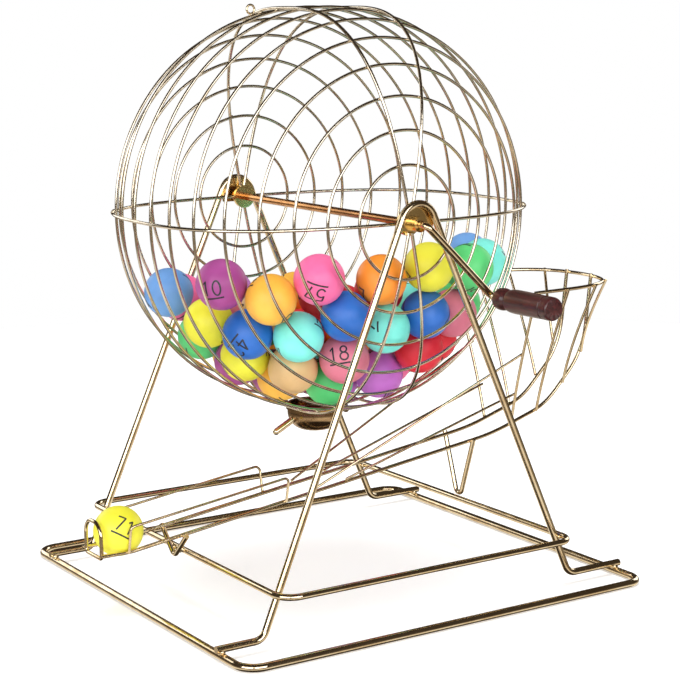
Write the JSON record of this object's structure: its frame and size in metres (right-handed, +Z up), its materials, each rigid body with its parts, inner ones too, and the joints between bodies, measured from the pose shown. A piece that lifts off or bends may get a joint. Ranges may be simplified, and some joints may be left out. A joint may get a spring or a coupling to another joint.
{
  "type": "bingo cage",
  "caption": "Wire bingo cage on a stand: a crank turns the round cage of numbered balls, and a release cup drops them onto a chute that ends at a ball stop.",
  "frame": {"origin": "on the floor, at the middle of the base rectangle", "axes": "+Z up; +X along the ball chute from the ball stop to the catch basket; +Y along the axle, away from the crank"},
  "size_m": [0.4765, 0.393, 0.4539],
  "materials": {
    "brass_wire": "bright pale brass plate",
    "brass_fittings": "bright brass plate",
    "copper_axle": "polished copper brown",
    "dark_bronze": "satin dark bronze",
    "steel_fittings": "bright",
    "mahogany": "gloss varnish",
    "ball_light_blue": "satin",
    "ball_plum": "satin",
    "ball_amber": "satin",
    "ball_pink": "satin",
    "ball_orange": "satin",
    "ball_yellow": "satin",
    "ball_mint": "satin",
    "ball_green": "satin",
    "ball_royal_blue": "satin",
    "ball_lilac": "satin",
    "ball_tan": "satin",
    "ball_red": "satin",
    "ball_rose": "satin"
  },
  "bodies": {
    "stand": {"outer_base": "brass_wire", "inner_frame": "brass_wire", "near_a_frame": "brass_wire", "far_a_frame": "brass_wire", "near_bearing": "brass_fittings", "far_bearing": "brass_fittings", "near_chute_rail": "brass_wire", "far_chute_rail": "brass_wire", "end_stop": "brass_wire", "near_side_guard": "brass_wire", "far_side_guard": "brass_wire", "stop_end_bracket": "brass_wire", "basket_end_bracket": "brass_wire", "basket_rim": "brass_wire", "near_basket_ribs": "brass_wire", "far_basket_ribs": "brass_wire", "near_side_rails": "brass_wire", "far_side_rails": "brass_wire", "called_ball": "ball_yellow", "balls_light_blue": "ball_light_blue", "balls_plum": "ball_plum", "balls_amber": "ball_amber", "balls_pink": "ball_pink", "balls_orange": "ball_orange", "balls_yellow": "ball_yellow", "balls_mint": "ball_mint", "balls_green": "ball_green", "balls_royal_blue": "ball_royal_blue", "balls_lilac": "ball_lilac", "balls_tan": "ball_tan", "balls_red": "ball_red", "balls_rose": "ball_rose"},
    "cage": {"ring_1": "brass_wire", "ring_2": "brass_wire", "ring_3": "brass_wire", "ring_4": "brass_wire", "ring_5": "brass_wire", "ring_6": "brass_wire", "ring_7": "brass_wire", "ring_8": "brass_wire", "level_hoop": "brass_wire", "stop_side_hoop": "brass_wire", "basket_side_hoop": "brass_wire", "near_hub": "brass_fittings", "far_hub": "brass_fittings", "near_thrust_washer": "brass_fittings", "far_thrust_washer": "brass_fittings", "axle": "copper_axle", "crank": "brass_wire", "spindle_collar": "brass_fittings", "grip_retainer": "steel_fittings", "release_collar": "dark_bronze", "gate_hinge_pin": "steel_fittings", "seam_clips": "brass_wire", "top_eyelet": "brass_wire"},
    "crank_grip": {"grip": "mahogany"},
    "release_gate": {"release_dish": "dark_bronze", "release_lever": "brass_fittings"}
  },
  "joints": [
    {"name": "cage_spin", "type": "hinge", "parent": "stand", "child": "cage", "pos_m": [-0.007, 0, 0.295], "axis": [0, 1, 0], "continuous": true},
    {"name": "grip_spin", "type": "hinge", "parent": "cage", "child": "crank_grip", "pos_m": [0.053, 0, 0.2375], "axis": [0, 1, 0], "continuous": true},
    {"name": "gate_hinge", "type": "hinge", "parent": "cage", "child": "release_gate", "pos_m": [0.01196, 0, 0.1329], "axis": [0, -1, 0], "range_deg": [0, 50], "stiffness_Nm_per_rad": 0.02, "springref_deg": -28.65}
  ]
}
